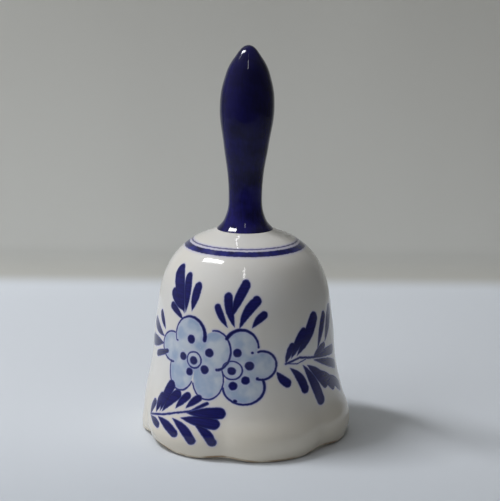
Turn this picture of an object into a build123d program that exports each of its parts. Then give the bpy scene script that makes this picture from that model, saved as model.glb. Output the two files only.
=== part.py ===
"""Porcelain hand bell: a scalloped bell, a hollow handle on its crown, and a clapper on wire links.

Millimetres, +Z up. The origin is on the bell's axis, in the plane that the rim stands on.
Bearings are degrees round the axis, counted from -Y (the painted front) towards +X.
"""

from build123d import *
from math import cos, radians, sin
import os

# Bell: heights up from the rim plane, radii of the outside at the middle of a lobe
bell_height = 71.4
wall = 3.0
rim_radius = 35.8
flare_radius = 37.3
flare_height = 6.3
skirt_radius = 34.2
skirt_height = 16.0
waist_radius = 31.9
waist_height = 26.0
side_radius = 30.4
side_height = 41.0
shoulder_radius = 26.1
shoulder_drop = 12.4  # from the top of the bell down to the shoulder
collar_radius = 18.9
collar_drop = 4.3
crown_radius = 9.6

# Scalloped skirt: six lobes that fade out at the waist
lobe_count = 6
notch_bearing = -11.0
rim_notch_depth = 2.1
flare_notch_depth = 1.7
skirt_notch_depth = 0.7
arch_rise = 1.0  # how far the rim lifts off the table at each notch
arch_width = 18.0

# Handle: heights up from the crown
handle_height = 62.0
handle_wall = 2.6
ankle_radius = 7.15
ankle_height = 3.1
neck_radius = 5.67
neck_height = 10.2
stem_radius = 6.05
stem_height = 18.0
swell_radius = 7.6
swell_height = 28.5
grip_radius = 9.2
grip_height = 41.8
cap_radius = 7.82
cap_drop = 11.0  # from the tip down to where the grip turns in
tip_radius = 4.8
tip_drop = 4.35
tip_roundness = 0.75  # below 1 the tip is more pointed

# Hanger: a wire staple set in a plaster plug in the crown's drain hole
drain_radius = 3.0
plug_height = 7.5
lip_radius = 4.4
lip_height = 1.0
staple_wire_radius = 0.5
staple_half_width = 2.1
staple_drop = 5.6  # from the plug's lip down to the middle of the wire at the bend
staple_grip = 7.0  # how far the legs run up into the plug from its lip

# Links between the staple and the clapper
link_radius = 3.0
link_wire_radius = 0.5
link_clearance = 0.15

# Clapper: a ball threaded on a head pin, its centre this far up from the rim plane
ball_height = 21.0
ball_radius = 7.0
ball_bore_clearance = 0.08
pin_wire_radius = 0.6
pin_eye_radius = 2.1
pin_head_radius = 1.7
pin_head_height = 0.8
pin_head_gap = 0.05

cut_margin = 1.0  # how far a cutter runs past the faces that it cuts

# Places that follow from the sizes
lobe_pitch = 360 / lobe_count
crown_underside = bell_height - wall
lip_underside = crown_underside - lip_height
plug_top = crown_underside + plug_height
staple_bottom = lip_underside - staple_drop
upper_link_top = staple_bottom + staple_wire_radius + link_clearance + link_wire_radius
upper_link_bottom = upper_link_top - 2 * link_radius
lower_link_top = upper_link_bottom + 2 * link_wire_radius + link_clearance
lower_link_bottom = lower_link_top - 2 * link_radius
pin_eye_top = lower_link_bottom + link_wire_radius + link_clearance + pin_wire_radius
pin_eye_centre = pin_eye_top - pin_eye_radius

STANDING = (Align.CENTER, Align.CENTER, Align.MIN)


def at_bearing(bearing, radius, height=0.0):
    """A point at a bearing round the axis."""
    return Vector(radius * sin(radians(bearing)), -radius * cos(radians(bearing)), height)


def lobed_section(radius, notch_depth, height):
    """A level section of the skirt: one outward arc for each lobe, meeting at the notches."""
    arcs = []
    for lobe in range(lobe_count):
        notch = notch_bearing + lobe * lobe_pitch
        arcs.append(
            ThreePointArc(
                at_bearing(notch, radius - notch_depth, height),
                at_bearing(notch + lobe_pitch / 2, radius, height),
                at_bearing(notch + lobe_pitch, radius - notch_depth, height),
            )
        )
    return make_face(arcs)


def skirt(inset):
    """The lobed lower part of the bell, up to the waist, with its side moved in by the inset."""
    return loft(
        [
            lobed_section(rim_radius - inset, rim_notch_depth, 0),
            lobed_section(flare_radius - inset, flare_notch_depth, flare_height),
            lobed_section(skirt_radius - inset, skirt_notch_depth, skirt_height),
            lobed_section(waist_radius - inset, 0, waist_height),
        ]
    )


def turned(outline):
    """A solid of revolution from half of its upright section."""
    return revolve(Plane.XZ * make_face(outline), Axis.Z)


def dome(inset):
    """The round part of the bell, from the waist to the crown, with its outline moved in by the inset."""
    top = bell_height - inset
    side = Spline(
        (waist_radius - inset, waist_height),
        (side_radius - inset, side_height),
        (shoulder_radius - inset, top - shoulder_drop),
        (collar_radius - inset / 2, top - collar_drop),
        (crown_radius, top),
        tangents=[(-0.14, 1), (-0.9, 0.43)],
    )
    return turned(
        [
            Line((0, waist_height), (waist_radius - inset, waist_height)),
            side,
            Line((crown_radius, top), (0, top)),
            Line((0, top), (0, waist_height)),
        ]
    )


def rim_arch(bearing):
    """A wide shallow cutter that lifts the rim at one notch."""
    half_width = arch_width / 2
    radius = (half_width**2 + arch_rise**2) / (2 * arch_rise)
    centre = at_bearing(bearing, rim_radius, arch_rise - radius)
    return Plane(origin=centre, z_dir=at_bearing(bearing, 1)) * Cylinder(radius, rim_radius)


def bell_shell():
    """The bell itself: an even wall, an arched rim, and the drain hole through the crown."""
    shell = skirt(0) + dome(0) - (skirt(wall) + dome(wall))
    drain = Cylinder(drain_radius, wall + 2 * cut_margin, align=STANDING)
    shell -= Pos(0, 0, crown_underside - cut_margin) * drain
    for lobe in range(lobe_count):
        shell -= rim_arch(notch_bearing + lobe * lobe_pitch)
    return shell


def grip_outline(inset):
    """The handle's side from the neck to the tip, moved in by the inset."""
    tip = bell_height + handle_height
    return Spline(
        (neck_radius - inset, bell_height + neck_height),
        (stem_radius - inset, bell_height + stem_height),
        (swell_radius - inset, bell_height + swell_height),
        (grip_radius - inset, bell_height + grip_height),
        (cap_radius - inset, tip - cap_drop),
        (tip_radius - inset / 2, tip - tip_drop - inset / 2),
        (0, tip - inset),
        tangents=[(0, 1), (-1, 0)],
        tangent_scalars=[1, tip_roundness],
    )


def handle():
    """A hollow drop-shaped grip on a short neck, spread at the foot where it is luted on."""
    foot = (crown_radius, bell_height)
    neck_top = bell_height + neck_height
    outside = turned(
        [
            Line((0, bell_height), foot),
            Spline(
                foot,
                (ankle_radius, bell_height + ankle_height),
                (neck_radius, neck_top),
                tangents=[(-0.62, 0.78), (0, 1)],
            ),
            grip_outline(0),
            Line((0, bell_height + handle_height), (0, bell_height)),
        ]
    )
    hollow = turned(
        [
            Line((0, bell_height), (drain_radius, bell_height)),
            Line((drain_radius, bell_height), (drain_radius, plug_top)),
            Line((drain_radius, plug_top), (neck_radius - handle_wall, neck_top)),
            grip_outline(handle_wall),
            Line((0, bell_height + handle_height - handle_wall), (0, bell_height)),
        ]
    )
    return outside - hollow


def hanger_eye():
    """A wire staple, its bend below the crown and its two legs up in the plug."""
    half = staple_half_width
    leg_top = lip_underside + staple_grip
    bend = staple_bottom + half
    path = Plane.XZ * Wire(
        [
            Line((-half, leg_top), (-half, bend)),
            ThreePointArc((-half, bend), (0, staple_bottom), (half, bend)),
            Line((half, bend), (half, leg_top)),
        ]
    )
    return sweep(Plane(origin=path @ 0, z_dir=path % 0) * Circle(staple_wire_radius), path=path)


def hanger_plug():
    """Plaster run into the drain hole round the staple, with a lip below the crown."""
    plug = Pos(0, 0, crown_underside) * Cylinder(drain_radius, plug_height, align=STANDING)
    plug += Pos(0, 0, lip_underside) * Cone(drain_radius, lip_radius, lip_height, align=STANDING)
    return plug - hanger_eye()


def wire_ring(ring_radius, wire_radius, top, facing):
    """A closed ring of wire that stands on edge, given the height of its wire's centre at the top."""
    return Plane(origin=(0, 0, top - ring_radius), z_dir=facing) * Torus(ring_radius, wire_radius)


def upper_link():
    return wire_ring(link_radius, link_wire_radius, upper_link_top, (1, 0, 0))


def lower_link():
    return wire_ring(link_radius, link_wire_radius, lower_link_top, (0, 1, 0))


def clapper_pin():
    """A head pin: an eye above, a straight shank through the ball, and a flat head below it."""
    head_top = ball_height - ball_radius - pin_head_gap
    shank_top = pin_eye_centre - pin_eye_radius
    pin = wire_ring(pin_eye_radius, pin_wire_radius, pin_eye_top, (1, 0, 0))
    pin += Pos(0, 0, head_top) * Cylinder(pin_wire_radius, shank_top - head_top, align=STANDING)
    pin += Pos(0, 0, head_top - pin_head_height) * Cylinder(pin_head_radius, pin_head_height, align=STANDING)
    return pin


def clapper_ball():
    """A porcelain ball, bored through for the pin."""
    bore = Cylinder(pin_wire_radius + ball_bore_clearance, 2 * (ball_radius + cut_margin))
    return Pos(0, 0, ball_height) * (Sphere(ball_radius) - bore)


PARTS = {
    "bell_shell": bell_shell,
    "handle": handle,
    "hanger_plug": hanger_plug,
    "hanger_eye": hanger_eye,
    "upper_link": upper_link,
    "lower_link": lower_link,
    "clapper_pin": clapper_pin,
    "clapper_ball": clapper_ball,
}

os.makedirs("parts", exist_ok=True)
for name, build in PARTS.items():
    shape = build()
    shape.label = name
    export_step(shape, f"parts/{name}.step")
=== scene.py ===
"""Looks of a porcelain hand bell with blue brush painting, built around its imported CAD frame.

Bell sizes are in millimetres and turned into metres as the meshes are made.
Bearings are degrees round the bell's axis, from -Y (the painted front) towards +X.
"""

import math

import bmesh
import bpy
from mathutils import Matrix, Vector


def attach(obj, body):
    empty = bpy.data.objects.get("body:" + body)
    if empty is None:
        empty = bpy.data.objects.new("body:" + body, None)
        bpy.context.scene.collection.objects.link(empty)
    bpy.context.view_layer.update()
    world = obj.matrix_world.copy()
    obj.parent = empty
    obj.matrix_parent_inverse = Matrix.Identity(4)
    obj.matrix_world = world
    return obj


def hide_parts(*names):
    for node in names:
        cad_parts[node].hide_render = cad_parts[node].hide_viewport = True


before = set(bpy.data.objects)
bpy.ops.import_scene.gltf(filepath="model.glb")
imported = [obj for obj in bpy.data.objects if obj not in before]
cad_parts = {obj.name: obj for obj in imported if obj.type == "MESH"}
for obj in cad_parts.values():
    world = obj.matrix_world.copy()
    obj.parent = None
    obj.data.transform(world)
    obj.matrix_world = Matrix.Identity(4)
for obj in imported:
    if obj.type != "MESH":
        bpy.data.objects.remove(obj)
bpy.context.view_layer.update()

MM = 0.001

# Bell outline: (radius, height) from the rim up to the crown, and the inside at an even wall
BELL_OUTSIDE = [
    (36.25, 1.1), (37.3, 6.3), (34.2, 16.0), (31.9, 26.0), (30.4, 41.0),
    (26.1, 59.0), (18.9, 67.1), (9.6, 71.4),
]
BELL_INSIDE = [
    (33.25, 1.1), (34.3, 6.3), (31.2, 16.0), (28.9, 26.0), (27.4, 41.0),
    (23.1, 56.0), (17.4, 64.1), (9.6, 68.4),
]
BELL_RIM = [(33.25, 1.1), (33.6, 0.35), (34.3, 0.07), (35.2, 0.07), (35.9, 0.4), (36.25, 1.1)]
CROWN_RADIUS = 9.6
CROWN_HEIGHT = 71.4
WALL = 3.0
DRAIN_RADIUS = 3.0
PLUG_TOP = 75.9

# Scallops of the skirt
LOBES = 6
NOTCH_BEARING = -11.0
NOTCH_DEPTH = 2.1
NOTCH_FADE_HEIGHT = 26.0
CREASE_START = 0.9  # share of the half lobe where the crease begins to round off
RIM_LIFT = 1.0
LIFT_REACH = 11.0
LIFT_FADE_HEIGHT = 7.0
HALF_LOBE_LENGTH = 18.6

# Uneven making: the left of the flare is pulled in, and the rim at the front left stands higher
PULL_BEARING = -95.0
PULL_WIDTH = 20.0
PULL_HEIGHT = 7.4
PULL_REACH = 3.9
PULL_DEPTH = 2.1
RIM_RISE = 1.7
RIM_RISE_BEARING = -56.0
RIM_RISE_WIDTH = 11.0
RIM_RISE_REACH = 7.0

# Handle outline, and how far its grip leans to the right at the tip
HANDLE_FOOT = [(9.6, 71.4), (7.15, 74.5), (5.67, 81.6)]
HANDLE_GRIP = [
    (5.67, 81.6), (6.05, 89.4), (7.6, 99.9), (9.2, 113.2), (7.82, 122.4), (4.8, 129.05), (0.0, 133.4),
]
HANDLE_HOLLOW = [
    (3.07, 81.6), (3.45, 89.4), (5.0, 99.9), (6.6, 113.2), (5.22, 122.4), (3.5, 127.75), (0.0, 130.8),
]
HANDLE_LEAN = 0.65
LEAN_START = 92.0

# Meshes: faces round a turn, the angle of a sharp edge in degrees, and distances in millimetres
BELL_STEPS = 288
HANDLE_STEPS = 120
SHARP_ANGLE = 40
WELD_DISTANCE = 0.002
SLIVER_LENGTH = 0.0005
ON_AXIS = 0.01

# Bake map: the gaps kept at the ends and sides of a strip, as shares of it, and the strips of each
# section as (lowest row, highest row, number of strips)
STRIP_END_GAP = 0.004
STRIP_SIDE_GAP = 0.01
RADIUS_SHARE = 0.6  # how much of its radius counts in a point's place along the outline
BELL_STRIPS = [
    (0.16, 1.0, 2), (0.0, 0.01, 1), (0.01, 0.02, 1), (0.02, 0.03, 1), (0.03, 0.13, 1), (0.13, 0.155, 1),
]
HANDLE_STRIPS = [(0.16, 0.26, 1), (0.27, 1.0, 1), (0.0, 0.12, 1), (0.12, 0.14, 1), (0.14, 0.155, 1)]


# ---------------------------------------------------------------- meshes

def smooth_line(points, start=None, end=None, fineness=10):
    """Points along a smooth curve through a few (radius, height) points, with optional end directions."""
    curve = bpy.data.curves.new("outline", "CURVE")
    curve.dimensions = "3D"
    curve.resolution_u = fineness
    spline = curve.splines.new("BEZIER")
    spline.bezier_points.add(len(points) - 1)
    for knot, (radius, height) in zip(spline.bezier_points, points):
        knot.co = (radius, 0, height)
        knot.handle_left_type = knot.handle_right_type = "AUTO"
    for knot, side, beside, direction in (
        (spline.bezier_points[0], "right", points[1], start),
        (spline.bezier_points[-1], "left", points[-2], end),
    ):
        if direction is None:
            continue
        knot.handle_left_type = knot.handle_right_type = "FREE"
        reach = (Vector((beside[0], 0, beside[1])) - knot.co).length / 3
        aim = Vector((direction[0], 0, direction[1])).normalized() * reach
        setattr(knot, f"handle_{side}", knot.co + (aim if side == "right" else -aim))
    holder = bpy.data.objects.new("outline", curve)
    mesh = bpy.data.meshes.new_from_object(holder)
    line = [(vertex.co.x, vertex.co.z) for vertex in mesh.vertices]
    bpy.data.objects.remove(holder)
    bpy.data.curves.remove(curve)
    bpy.data.meshes.remove(mesh)
    return line


def turn(sections, steps, start_bearing=0.0):
    """Spins joined outline sections round the axis; each section's faces get its material number."""
    mesh = bmesh.new()
    spans = mesh.faces.layers.int.new("section")
    first = Matrix.Rotation(math.radians(start_bearing - 90), 3, "Z")
    axis = {"axis": (0, 0, 1), "cent": (0, 0, 0)}
    sector = math.radians(360 / LOBES)
    for number, (line, material) in enumerate(sections):
        known = set(mesh.faces)
        knots = [mesh.verts.new(first @ Vector((radius, 0, height))) for radius, height in line]
        edges = [mesh.edges.new(pair) for pair in zip(knots, knots[1:])]
        bmesh.ops.spin(mesh, geom=knots + edges, angle=sector, steps=steps // LOBES, **axis)
        for face in mesh.faces:
            if face not in known:
                face.material_index = material
                face[spans] = number
    whole = list(mesh.verts) + list(mesh.edges) + list(mesh.faces)
    bmesh.ops.spin(mesh, geom=whole, angle=sector * (LOBES - 1), steps=LOBES - 1, use_duplicate=True, **axis)
    bmesh.ops.remove_doubles(mesh, verts=mesh.verts, dist=WELD_DISTANCE)
    bmesh.ops.dissolve_degenerate(mesh, dist=SLIVER_LENGTH, edges=mesh.edges)
    bmesh.ops.recalc_face_normals(mesh, faces=mesh.faces)
    return mesh


def unwrap(mesh, strips):
    """Lays each section out as strips of the bake map."""
    spans = mesh.faces.layers.int["section"]
    uv = mesh.loops.layers.uv.new("OFBake")
    reach = {}
    for face in mesh.faces:
        heights = reach.setdefault(face[spans], [])
        heights.extend(place_along(vertex) for vertex in face.verts)
    limits = {number: (min(values), max(values)) for number, values in reach.items()}
    for face in mesh.faces:
        low, high, count = strips[face[spans]]
        bottom, top = limits[face[spans]]
        middle = turn_share(face.calc_center_median())
        strip = min(int(middle * count), count - 1)
        row = (high - low) / count
        for loop in face.loops:
            share = turn_share(loop.vert.co)
            if math.hypot(loop.vert.co.x, loop.vert.co.y) < ON_AXIS:
                share = middle
            share += round(middle - share)
            along = (place_along(loop.vert) - bottom) / max(top - bottom, 1e-6)
            loop[uv].uv = (
                STRIP_END_GAP + (1 - 2 * STRIP_END_GAP) * (share * count - strip),
                low + row * (strip + STRIP_SIDE_GAP + (1 - 2 * STRIP_SIDE_GAP) * along),
            )


def turn_share(point):
    """The share of a full turn at a point, from 0 at the back to 1."""
    return (math.atan2(point.x, -point.y) / (2 * math.pi) + 0.5) % 1.0


def place_along(vertex):
    """How far along its outline a point lies: height, less its radius on the flat parts."""
    return vertex.co.z - RADIUS_SHARE * math.hypot(vertex.co.x, vertex.co.y)


def piece(name, mesh, materials):
    """A finished object in metres from a mesh in millimetres."""
    bmesh.ops.scale(mesh, vec=(MM, MM, MM), verts=mesh.verts)
    data = bpy.data.meshes.new(name)
    mesh.to_mesh(data)
    mesh.free()
    for material in materials:
        data.materials.append(material)
    data.shade_smooth()
    data.set_sharp_from_angle(angle=math.radians(SHARP_ANGLE))
    made = bpy.data.objects.new(name, data)
    bpy.context.scene.collection.objects.link(made)
    return made


def ease(share):
    """A smooth step from 0 to 1."""
    share = min(max(share, 0.0), 1.0)
    return share * share * (3 - 2 * share)


def falling_off(distance, reach):
    """A bell curve: 1 at no distance, and near 0 at three times the reach."""
    return math.exp(-0.5 * (distance / reach) ** 2)


def pull_left_flare(mesh):
    """Narrows the left of the flare and lifts the rim at the front left."""
    for vertex in mesh.verts:
        x, y, z = vertex.co
        bearing = math.degrees(math.atan2(x, -y))
        off = (bearing - PULL_BEARING + 180) % 360 - 180
        inward = PULL_DEPTH * falling_off(off, PULL_WIDTH) * falling_off(z - PULL_HEIGHT, PULL_REACH)
        radius = max(math.hypot(x, y), 1.0)
        rise = RIM_RISE * falling_off(bearing - RIM_RISE_BEARING, RIM_RISE_WIDTH)
        vertex.co.x -= inward * x / radius
        vertex.co.y -= inward * y / radius
        vertex.co.z += rise * max(0.0, 1 - z / RIM_RISE_REACH)


def scallop(mesh):
    """Presses the notches into the skirt, and lifts the rim at each of them."""
    pitch = 360 / LOBES
    for vertex in mesh.verts:
        radius = math.hypot(vertex.co.x, vertex.co.y)
        if vertex.co.z > NOTCH_FADE_HEIGHT or radius < 1:
            continue
        bearing = math.degrees(math.atan2(vertex.co.x, -vertex.co.y))
        share = abs((bearing - NOTCH_BEARING) % pitch / pitch * 2 - 1)
        hollow = share**2
        if share > CREASE_START:
            past = share - CREASE_START
            hollow = CREASE_START**2 + 2 * CREASE_START * past - CREASE_START / (1 - CREASE_START) * past**2
        depth = NOTCH_DEPTH * (1 - ease(vertex.co.z / NOTCH_FADE_HEIGHT)) * hollow
        from_notch = (1 - share) * HALF_LOBE_LENGTH
        lift = RIM_LIFT * max(0.0, 1 - (from_notch / LIFT_REACH) ** 2) ** 2
        lift *= 1 - ease(vertex.co.z / LIFT_FADE_HEIGHT)
        shrink = (radius - depth) / radius
        vertex.co.x *= shrink
        vertex.co.y *= shrink
        vertex.co.z += lift


# ---------------------------------------------------------------- shader helpers

def feed(tree, socket, value):
    """Links a node's output to a socket, or sets the socket's own value."""
    if isinstance(value, bpy.types.NodeSocket):
        tree.links.new(value, socket)
    elif value is not None:
        socket.default_value = value


def maths(tree, operation, *values):
    """The result of a maths node."""
    node = tree.nodes.new("ShaderNodeMath")
    node.operation = operation
    for socket, value in zip(node.inputs, values):
        feed(tree, socket, value)
    return node.outputs[0]


def clamp(tree, value):
    """A value kept between 0 and 1."""
    node = tree.nodes.new("ShaderNodeClamp")
    feed(tree, node.inputs["Value"], value)
    return node.outputs[0]


def vectors(tree, operation, *values):
    """The result of a vector maths node: a number for a length or a dot product, else a vector."""
    node = tree.nodes.new("ShaderNodeVectorMath")
    node.operation = operation
    for socket, value in zip(node.inputs, values):
        feed(tree, socket, value)
    return node.outputs["Value" if operation in ("LENGTH", "DOT_PRODUCT") else "Vector"]


def join(tree, x=0.0, y=0.0, z=0.0):
    """A vector from three numbers."""
    node = tree.nodes.new("ShaderNodeCombineXYZ")
    for socket, value in zip(node.inputs, (x, y, z)):
        feed(tree, socket, value)
    return node.outputs[0]


def split(tree, vector):
    """The three numbers of a vector."""
    node = tree.nodes.new("ShaderNodeSeparateXYZ")
    feed(tree, node.inputs[0], vector)
    return node.outputs


def step(tree, value, start, end, low=0.0, high=1.0):
    """A smooth step of a value between two limits."""
    node = tree.nodes.new("ShaderNodeMapRange")
    node.interpolation_type = "SMOOTHSTEP"
    for socket, given in zip(node.inputs, (value, start, end, low, high)):
        feed(tree, socket, given)
    return node.outputs["Result"]


def blend_colour(tree, share, first, second):
    """A colour between two, by the share of the second."""
    node = tree.nodes.new("ShaderNodeMix")
    node.data_type = "RGBA"
    feed(tree, node.inputs["Factor"], share)
    for socket, value in zip((s for s in node.inputs if s.type == "RGBA"), (first, second)):
        feed(tree, socket, value)
    return next(s for s in node.outputs if s.type == "RGBA")


def blend_vector(tree, share, first, second):
    """A vector between two, by the share of the second."""
    node = tree.nodes.new("ShaderNodeMix")
    node.data_type = "VECTOR"
    feed(tree, node.inputs["Factor"], share)
    for socket, value in zip((s for s in node.inputs if s.type == "VECTOR"), (first, second)):
        feed(tree, socket, value)
    return next(s for s in node.outputs if s.type == "VECTOR")


def noise(tree, place, scale, detail=2.0, roughness=0.5):
    """Cloudy noise from 0 to 1."""
    node = tree.nodes.new("ShaderNodeTexNoise")
    feed(tree, node.inputs["Vector"], place)
    node.inputs["Scale"].default_value = scale
    node.inputs["Detail"].default_value = detail
    node.inputs["Roughness"].default_value = roughness
    return node.outputs["Fac"]


def bump(tree, height, strength, distance):
    """A surface normal roughened by a height."""
    node = tree.nodes.new("ShaderNodeBump")
    feed(tree, node.inputs["Height"], height)
    node.inputs["Strength"].default_value = strength
    node.inputs["Distance"].default_value = distance
    return node.outputs["Normal"]


def object_place(tree):
    """A point's place in metres in its object's own axes."""
    return tree.nodes.new("ShaderNodeTexCoord").outputs["Object"]


def new_group(name, inputs, outputs):
    """An empty shader node group; gives its tree, its input sockets and its output sockets."""
    tree = bpy.data.node_groups.new(name, "ShaderNodeTree")
    for direction, sockets in (("INPUT", inputs), ("OUTPUT", outputs)):
        for label, kind in sockets:
            tree.interface.new_socket(label, in_out=direction, socket_type=f"NodeSocket{kind}")
    return tree, tree.nodes.new("NodeGroupInput").outputs, tree.nodes.new("NodeGroupOutput").inputs


def use_group(tree, group, **values):
    """Places a group in a material; underscores in a value's name stand for spaces."""
    node = tree.nodes.new("ShaderNodeGroup")
    node.node_tree = group
    for label, value in values.items():
        feed(tree, node.inputs[label.replace("_", " ")], value)
    return node.outputs


def new_material(name, **sockets):
    """A material with one Principled shader, whose sockets are set by name."""
    material = bpy.data.materials.new(name)
    material.use_nodes = True
    tree = material.node_tree
    tree.nodes.clear()
    shader = tree.nodes.new("ShaderNodeBsdfPrincipled")
    output = tree.nodes.new("ShaderNodeOutputMaterial")
    tree.links.new(shader.outputs[0], output.inputs["Surface"])
    for label, value in sockets.items():
        shader.inputs[label.replace("_", " ")].default_value = value
    return material, tree, shader


# ---------------------------------------------------------------- brush marks

POINT = [("Point", "Vector"), ("Ink", "Float"), ("Grain", "Vector")]
MARK = [("Ink", "Float"), ("Grain", "Vector")]


def lay_mark(tree, painting, sockets, distance, grain):
    """Adds one mark to the painting: the nearest mark's distance and brush direction win."""
    feed(tree, sockets["Ink"], maths(tree, "MINIMUM", distance, painting["Ink"]))
    nearer = maths(tree, "LESS_THAN", distance, painting["Ink"])
    feed(tree, sockets["Grain"], blend_vector(tree, nearer, painting["Grain"], grain))


def brush_stroke():
    """A stroke from a narrow root to a full round tip; gives the distance to its edge in millimetres."""
    tree, given, result = new_group(
        "brush_stroke",
        POINT + [
            ("Root", "Vector"), ("Tip", "Vector"), ("Root Width", "Float"), ("Tip Width", "Float"),
            ("Bow", "Float"), ("Tone", "Float"),
        ],
        MARK,
    )
    axis = vectors(tree, "SUBTRACT", given["Tip"], given["Root"])
    length = maths(tree, "SUBTRACT", vectors(tree, "LENGTH", axis), given["Tip Width"])
    along_way = vectors(tree, "NORMALIZE", axis)
    across_way = vectors(tree, "CROSS_PRODUCT", (0, 0, 1), along_way)
    away = vectors(tree, "SUBTRACT", given["Point"], given["Root"])
    share = maths(tree, "DIVIDE", vectors(tree, "DOT_PRODUCT", away, along_way), length)
    inside = clamp(tree, share)
    left = maths(tree, "SUBTRACT", 1.0, inside)
    arc = maths(tree, "MULTIPLY", inside, left)
    lean = maths(tree, "MULTIPLY", given["Bow"], -4.0)
    across = maths(tree, "MULTIPLY_ADD", arc, lean, vectors(tree, "DOT_PRODUCT", away, across_way))
    over = maths(tree, "MULTIPLY", maths(tree, "SUBTRACT", share, inside), length)
    gap = vectors(tree, "LENGTH", join(tree, over, across))
    growth = maths(tree, "SUBTRACT", given["Tip Width"], given["Root Width"])
    fullness = maths(tree, "MULTIPLY_ADD", arc, 1.5, inside)
    half_width = maths(tree, "MULTIPLY_ADD", fullness, growth, given["Root Width"])
    distance = maths(tree, "SUBTRACT", gap, half_width)
    run = maths(tree, "MULTIPLY", share, length)
    lay_mark(tree, given, result, distance, join(tree, run, across, given["Tone"]))
    return tree


def petal_line():
    """A line round part of a petal, whose half width runs evenly from one end to the other."""
    tree, given, result = new_group(
        "petal_line",
        POINT + [
            ("Centre", "Vector"), ("Radii", "Vector"), ("Middle", "Float"), ("Half Span", "Float"),
            ("First Width", "Float"), ("Last Width", "Float"), ("Tone", "Float"),
        ],
        MARK,
    )
    mean = vectors(tree, "DOT_PRODUCT", given["Radii"], (0.5, 0.5, 0.0))
    away = vectors(tree, "SUBTRACT", given["Point"], given["Centre"])
    local = vectors(tree, "DIVIDE", away, given["Radii"])
    x, y, _ = split(tree, local)
    angle = maths(tree, "SUBTRACT", maths(tree, "ARCTAN2", y, x), given["Middle"])
    angle = maths(tree, "WRAP", angle, math.pi, -math.pi)
    past = maths(tree, "SUBTRACT", maths(tree, "ABSOLUTE", angle), given["Half Span"])
    over = maths(tree, "MULTIPLY", maths(tree, "MAXIMUM", past, 0.0), mean)
    off = maths(tree, "SUBTRACT", vectors(tree, "LENGTH", local), 1.0)
    off = maths(tree, "MULTIPLY", off, mean)
    gap = vectors(tree, "LENGTH", join(tree, off, over))
    change = maths(tree, "SUBTRACT", given["Last Width"], given["First Width"])
    share = maths(tree, "DIVIDE", angle, maths(tree, "MULTIPLY", given["Half Span"], 2.0))
    share = clamp(tree, maths(tree, "ADD", share, 0.5))
    distance = maths(tree, "SUBTRACT", gap, maths(tree, "MULTIPLY_ADD", share, change, given["First Width"]))
    run = maths(tree, "MULTIPLY", angle, mean)
    lay_mark(tree, given, result, distance, join(tree, run, off, given["Tone"]))
    return tree


def petal_wash():
    """The pale fill of a petal; gives the distance to the nearest petal's edge."""
    tree, given, result = new_group(
        "petal_wash",
        [("Point", "Vector"), ("Wash", "Float"), ("Centre", "Vector"), ("Radii", "Vector")],
        [("Wash", "Float")],
    )
    mean = vectors(tree, "DOT_PRODUCT", given["Radii"], (0.5, 0.5, 0.0))
    away = vectors(tree, "SUBTRACT", given["Point"], given["Centre"])
    local = vectors(tree, "DIVIDE", away, given["Radii"])
    off = maths(tree, "SUBTRACT", vectors(tree, "LENGTH", local), 1.0)
    feed(tree, result["Wash"], maths(tree, "MINIMUM", maths(tree, "MULTIPLY", off, mean), given["Wash"]))
    return tree


def bell_plane():
    """Lays the bell's side out flat: bearing across in millimetres, height up; the back repeats the front."""
    tree, given, result = new_group(
        "bell_plane", [("Place", "Vector")], [("Point", "Vector"), ("Height", "Float")]
    )
    x, y, z = split(tree, given["Place"])
    bearing = maths(tree, "ARCTAN2", x, maths(tree, "MULTIPLY", y, -1.0))
    bearing = maths(tree, "WRAP", bearing, math.radians(PAINT_SEAM + 180), math.radians(PAINT_SEAM))
    height = maths(tree, "DIVIDE", z, MM)
    feed(tree, result["Point"], join(tree, maths(tree, "MULTIPLY", bearing, PAINT_RADIUS), height))
    feed(tree, result["Height"], height)
    return tree


PAINT_RADIUS = 31.0
PAINT_SEAM = -95.0

# Strokes: (root bearing, root height), (tip bearing, tip height), half width at the tip, bow to the left
TOP_LEFT_SPRAY = [
    ((-42, 47.2), (-58.5, 61.6), 2.6, -0.5),
    ((-41, 47.5), (-44.5, 60.2), 1.75, -0.6),
    ((-42, 47.9), (-57, 53.8), 1.7, 0.3),
    ((-42.5, 45.0), (-56, 49.2), 1.3, -0.2),
    ((-35.8, 48.4), (-33, 57.8), 1.75, 0.0),
]
TOP_SPRAY = [
    ((-10.5, 44.4), (-18.5, 51.7), 1.25, 0.2),
    ((-6.0, 44.6), (-11.4, 55.6), 1.6, 0.4),
    ((-8.0, 47.5), (2.5, 59.5), 1.75, 0.5),
    ((-2.8, 44.2), (10, 54.4), 1.75, 0.8),
    ((5.0, 44.4), (14.5, 49.4), 1.35, 0.3),
]
LOWER_BRANCH = [
    ((-33, 15.0), (-9.7, 16.4), 1.9, 0.1),
    ((-36, 13.1), (-12.7, 12.6), 1.8, 0.2),
    ((-27, 12), (-14.5, 5.9), 1.5, 0.8),
    ((-41.5, 12.3), (-25.5, 5.9), 1.55, 0.9),
    ((-53, 11.1), (-36, 7.4), 1.5, 0.5),
    ((-62, 9.8), (-50, 8.4), 1.2, 0.1),
    ((-63.5, 9.9), (-60.5, 15.8), 1.4, 0.3),
    ((-56.5, 12.0), (-53.5, 19), 1.6, 0.4),
    ((-53, 12.9), (-46.5, 24), 1.9, 0.5),
    ((-51, 13.2), (-39.5, 21.4), 1.75, 0.5),
    ((-41, 15.6), (-32.5, 21.4), 1.35, 0.2),
    ((-34, 16.4), (-24.8, 21.2), 1.25, 0.2),
    ((-31, 15.8), (-20.0, 19.3), 0.6, 0.0),
]
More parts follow.
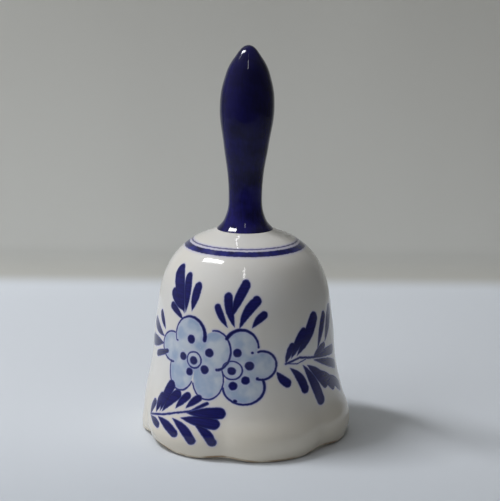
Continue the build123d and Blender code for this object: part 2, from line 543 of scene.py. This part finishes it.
RIGHT_BRANCH = [
    ((20, 29.5), (28.5, 24.3), 1.5, -0.3),
    ((26, 32.0), (31.8, 38.5), 1.25, 0.2),
    ((30, 33.4), (42, 42.6), 1.75, 0.4),
    ((34, 34.0), (53, 46.8), 2.2, -0.3),
    ((52, 34.5), (64, 46.0), 1.5, 0.3),
    ((48, 32.5), (61, 35.2), 1.3, 0.2),
    ((46, 32), (76, 31.5), 1.6, 0.4),
    ((48, 31.2), (78, 25.5), 1.5, 0.2),
    ((29.0, 30.2), (40.5, 21.2), 1.65, 0.8),
    ((38.5, 30.4), (52.5, 15.8), 1.95, 0.7),
    ((42, 30.0), (60, 21), 1.9, 0.4),
    ((50, 27.5), (69, 19.2), 1.9, 0.2),
    ((60, 24.5), (80, 17), 1.7, 0.2),
    ((61, 36), (76, 47), 1.9, 0.2),
]
LEFT_FAN = [
    ((-59.5, 40), (-69.5, 45.2), 1.2, 0.0),
    ((-60, 37.4), (-80, 41), 1.6, 0.2),
    ((-60, 35), (-84, 33.5), 2.0, 0.0),
]

# Even lines: the points that they pass, and their half width
STEMS = [
    ([(-63, 10.3), (-50, 12.3), (-40, 14.2), (-30, 15.9)], 0.38),
    ([(26, 31.8), (36, 33.2), (45, 32.3), (56, 31.5)], 0.42),
    ([(27.5, 31.8), (34, 31.3), (41, 32.2)], 0.22),
]
# Bars: root, tip, half width at the root and at the tip
TAPERED_BARS = [((-54.8, 33), (-70, 30), 0.75, 1.1)]

# Petals: centre (bearing, height), (half width in mm, half height)
PETALS = [
    ((-36, 40.4), (6.1, 6.1)),
    ((-18, 36.5), (5.45, 6.5)),
    ((-22, 27), (5.4, 6.8)),
    ((-41, 28.5), (5.3, 6.9)),
    ((-50, 35.2), (5.4, 5.0)),
    ((-1.5, 38), (5.6, 5.7)),
    ((11, 32), (4.8, 4.7)),
    ((0, 25), (6.65, 5.6)),
]
WASH_INSET = 0.12
FLOWER_HEARTS = [((-32, 33), (5.0, 5.0)), ((-4, 31), (5.0, 4.5))]

# Petal lines: petal number, angles from and to, half widths there (degrees, 0 to the right, 90 up)
PETAL_LINES = [
    (0, -8, 95, 0.8, 0.45),
    (0, 95, 205, 0.42, 0.22),
    (1, -75, 100, 0.5, 0.28),
    (2, 200, 385, 0.3, 0.3),
    (3, 165, 330, 0.3, 0.32),
    (4, 80, 280, 0.28, 0.4),
    (5, 0, 70, 0.4, 0.5),
    (5, 70, 150, 0.5, 0.75),
    (6, -110, 105, 0.45, 0.45),
    (7, 185, 385, 0.35, 0.5),
]
HEART_LINES = [((-31.7, 32.5), (2.7, 2.7), 0.27), ((-7, 30.4), (3.3, 3.0), 0.25)]

# Dots and dabs: (bearing, height), radius
DOTS = [
    ((-34.5, 39.2), 1.5), ((-21.5, 35.6), 1.5), ((-24.2, 29.8), 1.5), ((-34.6, 28.3), 1.35), ((-40, 33), 1.4),
    ((-32, 32.3), 1.45), ((-7.3, 30.2), 1.4), ((-4, 36.2), 1.45), ((3.3, 32), 1.55), ((1, 27.2), 1.4),
    ((-6.3, 25.3), 1.45), ((-16.5, 30.2), 0.5), ((-5, 20.4), 0.7), ((-50, 30.3), 0.45), ((5, 36.3), 0.45),
    ((8, 27.8), 0.5), ((-45.5, 37.8), 0.35),
]
DOT_LENGTH = 0.1
ROOT_WIDTH = 0.12
NO_MARK = 100.0  # a distance beyond any mark, in millimetres


def on_bell(bearing, height):
    """A painting point from a bearing and a height."""
    return (PAINT_RADIUS * math.radians(bearing), height, 0)


def paint_marks(tree, point):
    """All brush marks on one side of the bell; gives the distance to the nearest mark and its grain."""
    stroke, line = brush_stroke(), petal_line()
    ink, grain = NO_MARK, (0.0, 0.0, 0.0)
    tone = 0
    for root, tip, width, bow in TOP_LEFT_SPRAY + TOP_SPRAY + LOWER_BRANCH + RIGHT_BRANCH + LEFT_FAN:
        tone += 1
        ink, grain = use_group(
            tree, stroke, Point=point, Ink=ink, Grain=grain, Root=on_bell(*root), Tip=on_bell(*tip),
            Root_Width=ROOT_WIDTH, Tip_Width=width, Bow=bow, Tone=float(tone),
        )
    for stops, width in STEMS:
        for root, tip in zip(stops, stops[1:]):
            tone += 1
            ink, grain = use_group(
                tree, stroke, Point=point, Ink=ink, Grain=grain, Root=on_bell(*root), Tip=on_bell(*tip),
                Root_Width=width, Tip_Width=width, Bow=0.0, Tone=float(tone),
            )
    for root, tip, first, last in TAPERED_BARS:
        ink, grain = use_group(
            tree, stroke, Point=point, Ink=ink, Grain=grain, Root=on_bell(*root), Tip=on_bell(*tip),
            Root_Width=first, Tip_Width=last, Bow=0.0, Tone=0.5,
        )
    for petal, start, end, first, last in PETAL_LINES:
        centre, (half_width, half_height) = PETALS[petal]
        ink, grain = use_group(
            tree, line, Point=point, Ink=ink, Grain=grain, Centre=on_bell(*centre),
            Radii=(half_width, half_height, 1), Middle=math.radians((start + end) / 2),
            Half_Span=math.radians((end - start) / 2), First_Width=first, Last_Width=last, Tone=petal + 0.3,
        )
    for centre, (half_width, half_height), width in HEART_LINES:
        ink, grain = use_group(
            tree, line, Point=point, Ink=ink, Grain=grain, Centre=on_bell(*centre),
            Radii=(half_width, half_height, 1), Middle=1.0, Half_Span=math.pi,
            First_Width=width * 1.3, Last_Width=width, Tone=0.7,
        )
    for centre, radius in DOTS:
        tone += 1
        x, y, _ = on_bell(*centre)
        ink, grain = use_group(
            tree, stroke, Point=point, Ink=ink, Grain=grain,
            Root=(x, y, 0), Tip=(x + DOT_LENGTH + radius, y, 0),
            Root_Width=radius, Tip_Width=radius, Bow=0.0, Tone=float(tone),
        )
    return ink, grain


def paint_washes(tree, point):
    """The pale fill of all petals; gives the distance to its edge."""
    wash_group, wash = petal_wash(), NO_MARK
    for centre, (half_width, half_height) in PETALS + FLOWER_HEARTS:
        radii = (half_width - WASH_INSET, half_height - WASH_INSET, 1)
        wash = use_group(
            tree, wash_group, Point=point, Wash=wash, Centre=on_bell(*centre), Radii=radii
        )["Wash"]
    return wash


# ---------------------------------------------------------------- finishes

WHITE = (0.70, 0.695, 0.68, 1)
CREAM = (0.66, 0.61, 0.51, 1)
WASH_LIGHT = (0.52, 0.58, 0.66, 1)
WASH_DEEP = (0.27, 0.37, 0.55, 1)
HALO = (0.45, 0.44, 0.68, 1)
INK_DARK = (0.003, 0.003, 0.042, 1)
INK_BLUE = (0.009, 0.011, 0.15, 1)
LINE_BLUE = (0.035, 0.05, 0.24, 1)
BAND_BLUE = (0.022, 0.026, 0.22, 1)
# dark tan: bare clay of the foot, darkened as painted contact shadow along the rim; also the colour of specks
# in the glaze
SHADED_TAN = (0.32, 0.22, 0.13, 1)
HANDLE_DARK = (0.0022, 0.0020, 0.032, 1)
HANDLE_BLUE = (0.011, 0.009, 0.15, 1)
PLASTER_PALE = (0.62, 0.60, 0.55, 1)
PLASTER_STAIN = (0.36, 0.31, 0.25, 1)
STEEL = (0.56, 0.56, 0.55, 1)
STEEL_FILM = (0.34, 0.33, 0.31, 1)
BRASS = (0.72, 0.52, 0.22, 1)
BRASS_FILM = (0.42, 0.29, 0.12, 1)

# Painting, in millimetres: the unsteadiness of the hand, and the two bands with their soft edges
HAND_WOBBLE = 0.36
BAND_LOW, BAND_HIGH = 65.8, 67.15
THIN_LOW, THIN_HIGH = 67.62, 67.92
BAND_EDGE = 0.12


def glaze_normal():
    """Slow ripples in a fired glaze, with a faint finer ripple."""
    tree, given, result = new_group(
        "glaze_ripple",
        [("Place", "Vector"), ("Ripple", "Float"), ("Distance", "Float")],
        [("Normal", "Vector")],
    )
    slow = noise(tree, given["Place"], 75.0, 1.5, 0.4)
    fine = noise(tree, given["Place"], 420.0, 2.0, 0.5)
    height = maths(tree, "MULTIPLY_ADD", fine, 0.06, slow)
    node = tree.nodes.new("ShaderNodeBump")
    feed(tree, node.inputs["Height"], height)
    feed(tree, node.inputs["Strength"], given["Ripple"])
    feed(tree, node.inputs["Distance"], given["Distance"])
    feed(tree, result["Normal"], node.outputs["Normal"])
    return tree


GLAZE = glaze_normal()


def glaze_over(tree, shader, place, ripple, distance):
    """Lays the rippled glaze over a finish."""
    glaze = use_group(tree, GLAZE, Place=place, Ripple=ripple, Distance=distance)
    feed(tree, shader.inputs["Normal"], glaze["Normal"])


def painted_porcelain():
    """White glazed porcelain with two blue bands, flowers, sprays and branches under the glaze."""
    material, tree, shader = new_material("painted_porcelain", Roughness=0.09, IOR=1.5)
    place = object_place(tree)
    plane = use_group(tree, bell_plane(), Place=place)
    point, height = plane["Point"], plane["Height"]
    drift = noise(tree, place, 900.0, 2.0, 0.5)
    sway = join(tree, drift, noise(tree, place, 700.0, 2.0))
    wobble = vectors(tree, "MULTIPLY_ADD", sway, (HAND_WOBBLE, HAND_WOBBLE, 0), point)
    wobble = vectors(tree, "SUBTRACT", wobble, (HAND_WOBBLE / 2, HAND_WOBBLE / 2, 0))
    ink, grain = paint_marks(tree, wobble)
    wash = paint_washes(tree, wobble)

    # porcelain body: a little uneven, creamier towards the rim
    cloud = noise(tree, place, 45.0, 2.0, 0.5)
    body = blend_colour(tree, step(tree, cloud, 0.3, 0.75, 0.0, 0.35), WHITE, CREAM)
    body = blend_colour(tree, step(tree, height, 26.0, 1.0, 0.0, 0.9), body, CREAM)

    # petals: watery blue, mottled, paler just inside the edge
    mottle = noise(tree, place, 190.0, 2.0, 0.5)
    near_edge = step(tree, wash, -3.2, -0.5)
    pooled = maths(tree, "MULTIPLY_ADD", near_edge, 0.3, step(tree, mottle, 0.36, 0.68, 0.0, 0.8))
    watery = blend_colour(tree, pooled, WASH_LIGHT, WASH_DEEP)
    covering = step(tree, wash, 0.1, -0.5, 0.0, 0.92)
    colour = blend_colour(tree, covering, body, watery)

    # brush marks: thin and bluer at the edge, darker and streaked inside, with a soft halo
    colour = blend_colour(tree, step(tree, ink, 0.75, -0.1, 0.0, 0.5), colour, HALO)
    run, across, seed = split(tree, grain)
    streak_place = join(tree, maths(tree, "MULTIPLY", run, 0.12), maths(tree, "MULTIPLY", across, 1.6), seed)
    streak = noise(tree, streak_place, 1.0, 3.0, 0.6)
    middle = step(tree, ink, -0.15, -0.95)
    thin = maths(tree, "MULTIPLY", middle, step(tree, streak, 0.3, 0.72, 0.35, 0.85))
    pigment = blend_colour(tree, thin, INK_DARK, INK_BLUE)
    pigment = blend_colour(tree, step(tree, ink, -0.05, -0.55), LINE_BLUE, pigment)
    colour = blend_colour(tree, step(tree, ink, 0.15, -0.15), colour, pigment)

    # two bands round the shoulder
    lift = maths(tree, "MULTIPLY_ADD", drift, 0.3, height)
    lift = maths(tree, "SUBTRACT", lift, 0.15)
    above = step(tree, lift, BAND_LOW - 0.7, BAND_LOW)
    between = maths(tree, "MULTIPLY", above, step(tree, lift, THIN_HIGH + 0.5, THIN_HIGH))
    colour = blend_colour(tree, maths(tree, "MULTIPLY", between, 0.55), colour, HALO)
    for low, high, share in ((BAND_LOW, BAND_HIGH, 1.0), (THIN_LOW, THIN_HIGH, 0.85)):
        from_below = step(tree, lift, low - BAND_EDGE, low + BAND_EDGE)
        from_above = step(tree, lift, high + BAND_EDGE, high - BAND_EDGE)
        covered = maths(tree, "MULTIPLY", from_below, from_above)
        tone = blend_colour(tree, step(tree, mottle, 0.3, 0.7), INK_DARK, BAND_BLUE)
        colour = blend_colour(tree, maths(tree, "MULTIPLY", covered, share), colour, tone)

    # bare clay where the glaze stops at the foot of the rim, in a dark tan that is also painted contact
    # shadow along the rim's edge
    bare_foot_shade = maths(tree, "MULTIPLY_ADD", noise(tree, place, 500.0), 0.5, height)
    bare_foot_shade = step(tree, bare_foot_shade, 0.75, 0.35)
    colour = blend_colour(tree, bare_foot_shade, colour, SHADED_TAN)
    feed(tree, shader.inputs["Base Color"], colour)
    gloss = step(tree, cloud, 0.2, 0.8, 0.06, 0.11)
    feed(tree, shader.inputs["Roughness"], maths(tree, "MULTIPLY_ADD", bare_foot_shade, 0.5, gloss))
    glaze_over(tree, shader, place, 0.25, 0.0006)
    return material


def white_porcelain():
    """Plain glazed porcelain, for the inside and the clapper ball."""
    material, tree, shader = new_material("white_porcelain", Roughness=0.14, IOR=1.5)
    place = object_place(tree)
    cloud = noise(tree, place, 60.0, 3.0, 0.55)
    speck = noise(tree, place, 1600.0, 1.0, 0.5)
    colour = blend_colour(tree, step(tree, cloud, 0.25, 0.8), WHITE, CREAM)
    colour = blend_colour(tree, step(tree, speck, 0.76, 0.80, 0.0, 0.6), colour, SHADED_TAN)
    feed(tree, shader.inputs["Base Color"], colour)
    feed(tree, shader.inputs["Roughness"], step(tree, cloud, 0.2, 0.8, 0.10, 0.22))
    glaze_over(tree, shader, place, 0.35, 0.0007)
    return material


def shaded_bare_rim():
    """The unglazed foot of the rim, in a dark tan that is also painted contact shadow, mottled with cream."""
    material, tree, shader = new_material("shaded_bare_rim", Roughness=0.75)
    place = object_place(tree)
    grain = noise(tree, place, 900.0, 4.0, 0.6)
    stain = noise(tree, place, 130.0, 2.0, 0.5)
    # painted shade: the foot's tan is darker than the bare clay, as contact shadow
    colour = blend_colour(tree, step(tree, stain, 0.3, 0.7), SHADED_TAN, CREAM)
    feed(tree, shader.inputs["Base Color"], colour)
    feed(tree, shader.inputs["Roughness"], step(tree, grain, 0.2, 0.8, 0.6, 0.85))
    feed(tree, shader.inputs["Normal"], bump(tree, grain, 0.3, 0.0002))
    return material


def blue_glaze():
    """Cobalt brushed over the handle under a clear glaze: soft clouds, bluer where it ran thin."""
    material, tree, shader = new_material("blue_glaze", Roughness=0.08, IOR=1.4)
    place = object_place(tree)
    x, y, z = split(tree, place)
    bearing = maths(tree, "ARCTAN2", x, maths(tree, "MULTIPLY", y, -1.0))
    around = maths(tree, "MULTIPLY", bearing, 0.009)
    swept = join(tree, around, maths(tree, "MULTIPLY", z, 0.22), 0.0)
    streak = noise(tree, swept, 1100.0, 3.0, 0.6)
    slanted = join(tree, maths(tree, "MULTIPLY_ADD", z, 0.5, maths(tree, "MULTIPLY", x, 0.6)), y, z)
    cloud = noise(tree, slanted, 120.0, 3.0, 0.55)
    brushed = step(tree, streak, 0.35, 0.75)
    tone = maths(tree, "MULTIPLY_ADD", brushed, 0.3, step(tree, cloud, 0.36, 0.68, 0.0, 0.7))
    lower = step(tree, z, 0.115, 0.080, 0.35, 1.0)
    tone = maths(tree, "MULTIPLY", tone, lower)
    colour = blend_colour(tree, tone, HANDLE_DARK, HANDLE_BLUE)
    feed(tree, shader.inputs["Base Color"], colour)
    feed(tree, shader.inputs["Roughness"], step(tree, cloud, 0.2, 0.8, 0.05, 0.10))
    glaze_over(tree, shader, place, 0.22, 0.0005)
    return material


def plaster():
    """Gritty off-white plaster, daubed round the staple."""
    material, tree, shader = new_material("plaster", Roughness=0.9)
    place = object_place(tree)
    lump = noise(tree, place, 900.0, 4.0, 0.65)
    stain = noise(tree, place, 260.0, 2.0, 0.5)
    colour = blend_colour(tree, step(tree, stain, 0.35, 0.75), PLASTER_PALE, PLASTER_STAIN)
    feed(tree, shader.inputs["Base Color"], colour)
    feed(tree, shader.inputs["Roughness"], step(tree, lump, 0.2, 0.8, 0.8, 0.98))
    feed(tree, shader.inputs["Normal"], bump(tree, lump, 0.8, 0.0005))
    return material


def wire(name, bright, dull):
    """Drawn wire: fine draw marks and a dull film in patches."""
    material, tree, shader = new_material(name, Metallic=1.0, Roughness=0.3)
    place = object_place(tree)
    film = noise(tree, place, 420.0, 3.0, 0.6)
    mark = noise(tree, place, 2600.0, 2.0, 0.6)
    feed(tree, shader.inputs["Base Color"], blend_colour(tree, step(tree, film, 0.35, 0.7), bright, dull))
    feed(tree, shader.inputs["Roughness"], step(tree, film, 0.25, 0.75, 0.22, 0.5))
    feed(tree, shader.inputs["Normal"], bump(tree, mark, 0.25, 0.00008))
    return material


# ---------------------------------------------------------------- pieces

def bell_shell(materials):
    """The bell: outside, crown, drain hole, inside and rim."""
    sections = [
        (smooth_line(BELL_OUTSIDE, start=(0.3, 1), end=(-0.9, 0.43), fineness=9), 0),
        ([(CROWN_RADIUS, CROWN_HEIGHT), (DRAIN_RADIUS, CROWN_HEIGHT)], 1),
        ([(DRAIN_RADIUS, CROWN_HEIGHT), (DRAIN_RADIUS, CROWN_HEIGHT - WALL)], 1),
        ([(DRAIN_RADIUS, CROWN_HEIGHT - WALL), (CROWN_RADIUS, CROWN_HEIGHT - WALL)], 1),
        (smooth_line(BELL_INSIDE, start=(0.3, 1), fineness=8), 1),
        (smooth_line(BELL_RIM, start=(-0.3, -1), end=(0.3, 1), fineness=4), 2),
    ]
    mesh = turn(sections, steps=BELL_STEPS, start_bearing=NOTCH_BEARING)
    scallop(mesh)
    pull_left_flare(mesh)
    unwrap(mesh, BELL_STRIPS)
    return piece("porcelain_bell", mesh, materials)


def handle(materials):
    """The hollow handle, its grip leaning a little to the right."""
    tip_way = (-1, 0)
    sections = [
        (smooth_line(HANDLE_FOOT, start=(-0.62, 0.78), end=(0, 1)), 0),
        (smooth_line(HANDLE_GRIP, start=(0, 1), end=tip_way), 0),
        (smooth_line(HANDLE_HOLLOW, start=(0.1, 1), end=tip_way, fineness=5), 1),
        ([HANDLE_HOLLOW[0], (DRAIN_RADIUS, PLUG_TOP), (DRAIN_RADIUS, CROWN_HEIGHT)], 1),
        ([(DRAIN_RADIUS, CROWN_HEIGHT), (CROWN_RADIUS, CROWN_HEIGHT)], 1),
    ]
    mesh = turn(sections, steps=HANDLE_STEPS)
    for vertex in mesh.verts:
        share = max(0.0, vertex.co.z - LEAN_START) / (HANDLE_GRIP[-1][1] - LEAN_START)
        vertex.co.x += HANDLE_LEAN * share
    unwrap(mesh, HANDLE_STRIPS)
    return piece("drop_handle", mesh, materials)


def dress(node, *materials):
    """Gives a CAD node its finish."""
    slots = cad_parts[node].data.materials
    slots.clear()
    for material in materials:
        slots.append(material)


glazed_white = white_porcelain()
shell = bell_shell([painted_porcelain(), glazed_white, shaded_bare_rim()])
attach(shell, "bell")
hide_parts("bell_shell")

grip = handle([blue_glaze(), glazed_white])
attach(grip, "bell")
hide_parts("handle")

steel = wire("steel_wire", STEEL, STEEL_FILM)
brass = wire("brass_wire", BRASS, BRASS_FILM)
dress("hanger_plug", plaster())
dress("hanger_eye", steel)
dress("upper_link", steel)
dress("lower_link", steel)
dress("clapper_pin", brass)
dress("clapper_ball", glazed_white)


# ---------------------------------------------------------------- studio

# Backdrop, in metres
TABLE_FRONT = 0.30
WALL_DEPTH = 0.212
WALL_HEIGHT = 1.0
HALF_WIDTH = 0.5
COVE = 0.016
MOUTH_OPENING = 0.031

TABLE = (0.68, 0.72, 0.775, 1)
# painted shade on the table: darker towards the front, and dark grey far from the bell
TABLE_FRONT_SHADE = (0.50, 0.54, 0.59, 1)
FAR_SHADE = (0.20, 0.20, 0.20, 1)
WALL_GREY = (0.67, 0.67, 0.63, 1)
# painted shade on the wall: in soft vertical folds, towards the top, and down at the cove
WALL_FOLD_SHADE = (0.56, 0.555, 0.52, 1)
WALL_SHADE = (0.33, 0.33, 0.30, 1)

# Light: where the lamps aim, and the way to the brightest part of the room
LAMP_AIM = Vector((0, 0, 0.06))
BRIGHT_WAY = (-0.62, 0.55, 0.56)
DAYLIGHT = (0.97, 0.98, 1.0)
TUBE_LIGHT = (1.0, 1.0, 1.0)
ROOM_LIGHT = (1.0, 0.975, 0.92, 1)

# Eye: place in metres, turns in radians, lens and sensor in millimetres
EYE = (0, -0.4518, 0.1620)
EYE_DOWN = 0.2144
EYE_RIGHT = 0.00389
EYE_ROLL = 0.00987
LENS = 96.95
SENSOR_WIDTH = 36.0


def wall_looks_away(mesh):
    """Whether the backdrop's wall faces away from the bell."""
    mesh.normal_update()
    wall = max(mesh.faces, key=lambda face: face.calc_center_median().z)
    return wall.normal.y > 0


def backdrop():
    """A pale tabletop with a grey wall behind, joined by a small cove; both carry painted shade."""
    mesh = bmesh.new()
    bends = [math.radians(angle) for angle in range(0, 91, 15)]
    corner = [
        (WALL_DEPTH - COVE + COVE * math.sin(bend), COVE - COVE * math.cos(bend)) for bend in bends
    ]
    line = [(-TABLE_FRONT, 0.0)] + corner + [(WALL_DEPTH, WALL_HEIGHT)]
    knots = [mesh.verts.new((-HALF_WIDTH, y, z)) for y, z in line]
    edges = [mesh.edges.new(pair) for pair in zip(knots, knots[1:])]
    drawn = bmesh.ops.extrude_edge_only(mesh, edges=edges)
    moved = [part for part in drawn["geom"] if isinstance(part, bmesh.types.BMVert)]
    bmesh.ops.translate(mesh, vec=(2 * HALF_WIDTH, 0, 0), verts=moved)
    if wall_looks_away(mesh):
        bmesh.ops.reverse_faces(mesh, faces=mesh.faces)
    data = bpy.data.meshes.new("backdrop")
    mesh.to_mesh(data)
    mesh.free()
    data.shade_smooth()
    made = bpy.data.objects.new("backdrop", data)
    bpy.context.scene.collection.objects.link(made)

    # colours: a grey wall with painted shade in soft vertical folds, towards the top and down at the cove,
    # and a table with painted shade, darker towards the front and dark grey far out
    material, tree, shader = new_material("backdrop_paper", Roughness=0.85)
    place = object_place(tree)
    x, y, z = split(tree, place)
    # painted shade: soft vertical folds of shade across the wall
    fold_shade = noise(tree, join(tree, x, y, maths(tree, "MULTIPLY", z, 0.5)), 8.0, 1.0, 0.5)
    wall = blend_colour(tree, step(tree, fold_shade, 0.25, 0.75, 0.0, 0.7), WALL_GREY, WALL_FOLD_SHADE)
    # painted shade: the wall darker towards the top, and in the cove at its foot
    wall = blend_colour(tree, step(tree, z, 0.05, 0.30, 0.0, 0.6), wall, WALL_SHADE)
    wall = blend_colour(tree, step(tree, z, 0.022, 0.004, 0.0, 0.5), wall, WALL_SHADE)
    # painted shade: the table darker towards the front
    table = blend_colour(tree, step(tree, y, 0.02, -0.16), TABLE, TABLE_FRONT_SHADE)
    colour = blend_colour(tree, step(tree, z, 0.0, 0.006), table, wall)
    # painted shade: the table fading to dark grey far from the bell
    spread = vectors(tree, "LENGTH", join(tree, x, maths(tree, "MINIMUM", y, 0.0)))
    colour = blend_colour(tree, step(tree, spread, 0.13, 0.30, 0.0, 0.75), colour, FAR_SHADE)
    feed(tree, shader.inputs["Base Color"], colour)
    feed(tree, shader.inputs["Normal"], bump(tree, noise(tree, place, 1500.0, 3.0), 0.05, 0.0003))

    # it can be looked through from behind, and it is open under the bell's mouth
    across_table = vectors(tree, "LENGTH", join(tree, x, y))
    under_mouth = maths(tree, "LESS_THAN", across_table, MOUTH_OPENING)
    clear = tree.nodes.new("ShaderNodeBsdfTransparent")
    geometry = tree.nodes.new("ShaderNodeNewGeometry")
    choose = tree.nodes.new("ShaderNodeMixShader")
    feed(tree, choose.inputs["Fac"], maths(tree, "MAXIMUM", geometry.outputs["Backfacing"], under_mouth))
    feed(tree, choose.inputs[1], shader.outputs["BSDF"])
    feed(tree, choose.inputs[2], clear.outputs["BSDF"])
    feed(tree, tree.nodes["Material Output"].inputs["Surface"], choose.outputs["Shader"])
    data.materials.append(material)


def lamp(name, way, distance, size, power, colour, along=(1, 0, 0), glossy=True):
    """A soft rectangular light on one side of the bell, its first side laid along a direction."""
    data = bpy.data.lights.new(name, "AREA")
    data.shape = "RECTANGLE"
    data.size, data.size_y = size
    data.energy = power
    data.color = colour
    light = bpy.data.objects.new(name, data)
    toward = Vector(way).normalized()
    second = toward.cross(Vector(along)).normalized()
    first = second.cross(toward)
    facing = Matrix((first, second, toward)).transposed().to_4x4()
    light.matrix_world = Matrix.Translation(LAMP_AIM + toward * distance) @ facing
    light.visible_glossy = glossy
    bpy.context.scene.collection.objects.link(light)


def studio():
    """A window up on the left, a fill, a ceiling tube, a room darker in front, and light from below."""
    lamp(
        "window", (-0.52, 0.02, 0.845), 1.0, (0.42, 0.10), 5.6, DAYLIGHT, along=(0.571, -0.731, 0.374)
    )
    lamp("left_fill", (-0.85, -0.45, 0.35), 1.2, (1.2, 1.2), 4.8, DAYLIGHT, glossy=False)
    lamp("ceiling_tube", (0.0, -0.574, 0.819), 1.3, (0.03, 0.5), 0.7, TUBE_LIGHT)
    world = bpy.data.worlds.new("room")
    world.use_nodes = True
    tree = world.node_tree
    background = tree.nodes["Background"]
    way = tree.nodes.new("ShaderNodeTexCoord").outputs["Generated"]
    toward_bright = vectors(tree, "DOT_PRODUCT", way, BRIGHT_WAY)
    feed(tree, background.inputs["Color"], ROOM_LIGHT)
    _, _, rise = split(tree, way)
    room_light = step(tree, toward_bright, -0.6, 0.9, 0.085, 0.31)
    light_below = step(tree, rise, -0.45, -0.75, 0.0, 0.8)
    feed(tree, background.inputs["Strength"], maths(tree, "ADD", room_light, light_below))
    bpy.context.scene.world = world


def camera():
    """The eye: 0.45 m in front, a little above the bell, tilted down."""
    data = bpy.data.cameras.new("eye")
    data.sensor_width = SENSOR_WIDTH
    data.lens = LENS
    eye = bpy.data.objects.new("eye", data)
    turned = Matrix.Rotation(-EYE_RIGHT, 4, "Z") @ Matrix.Rotation(math.pi / 2 - EYE_DOWN, 4, "X")
    eye.matrix_world = Matrix.Translation(EYE) @ turned @ Matrix.Rotation(EYE_ROLL, 4, "Z")
    bpy.context.scene.collection.objects.link(eye)
    bpy.context.scene.camera = eye


backdrop()
studio()
camera()
bpy.context.scene.view_settings.view_transform = "Standard"
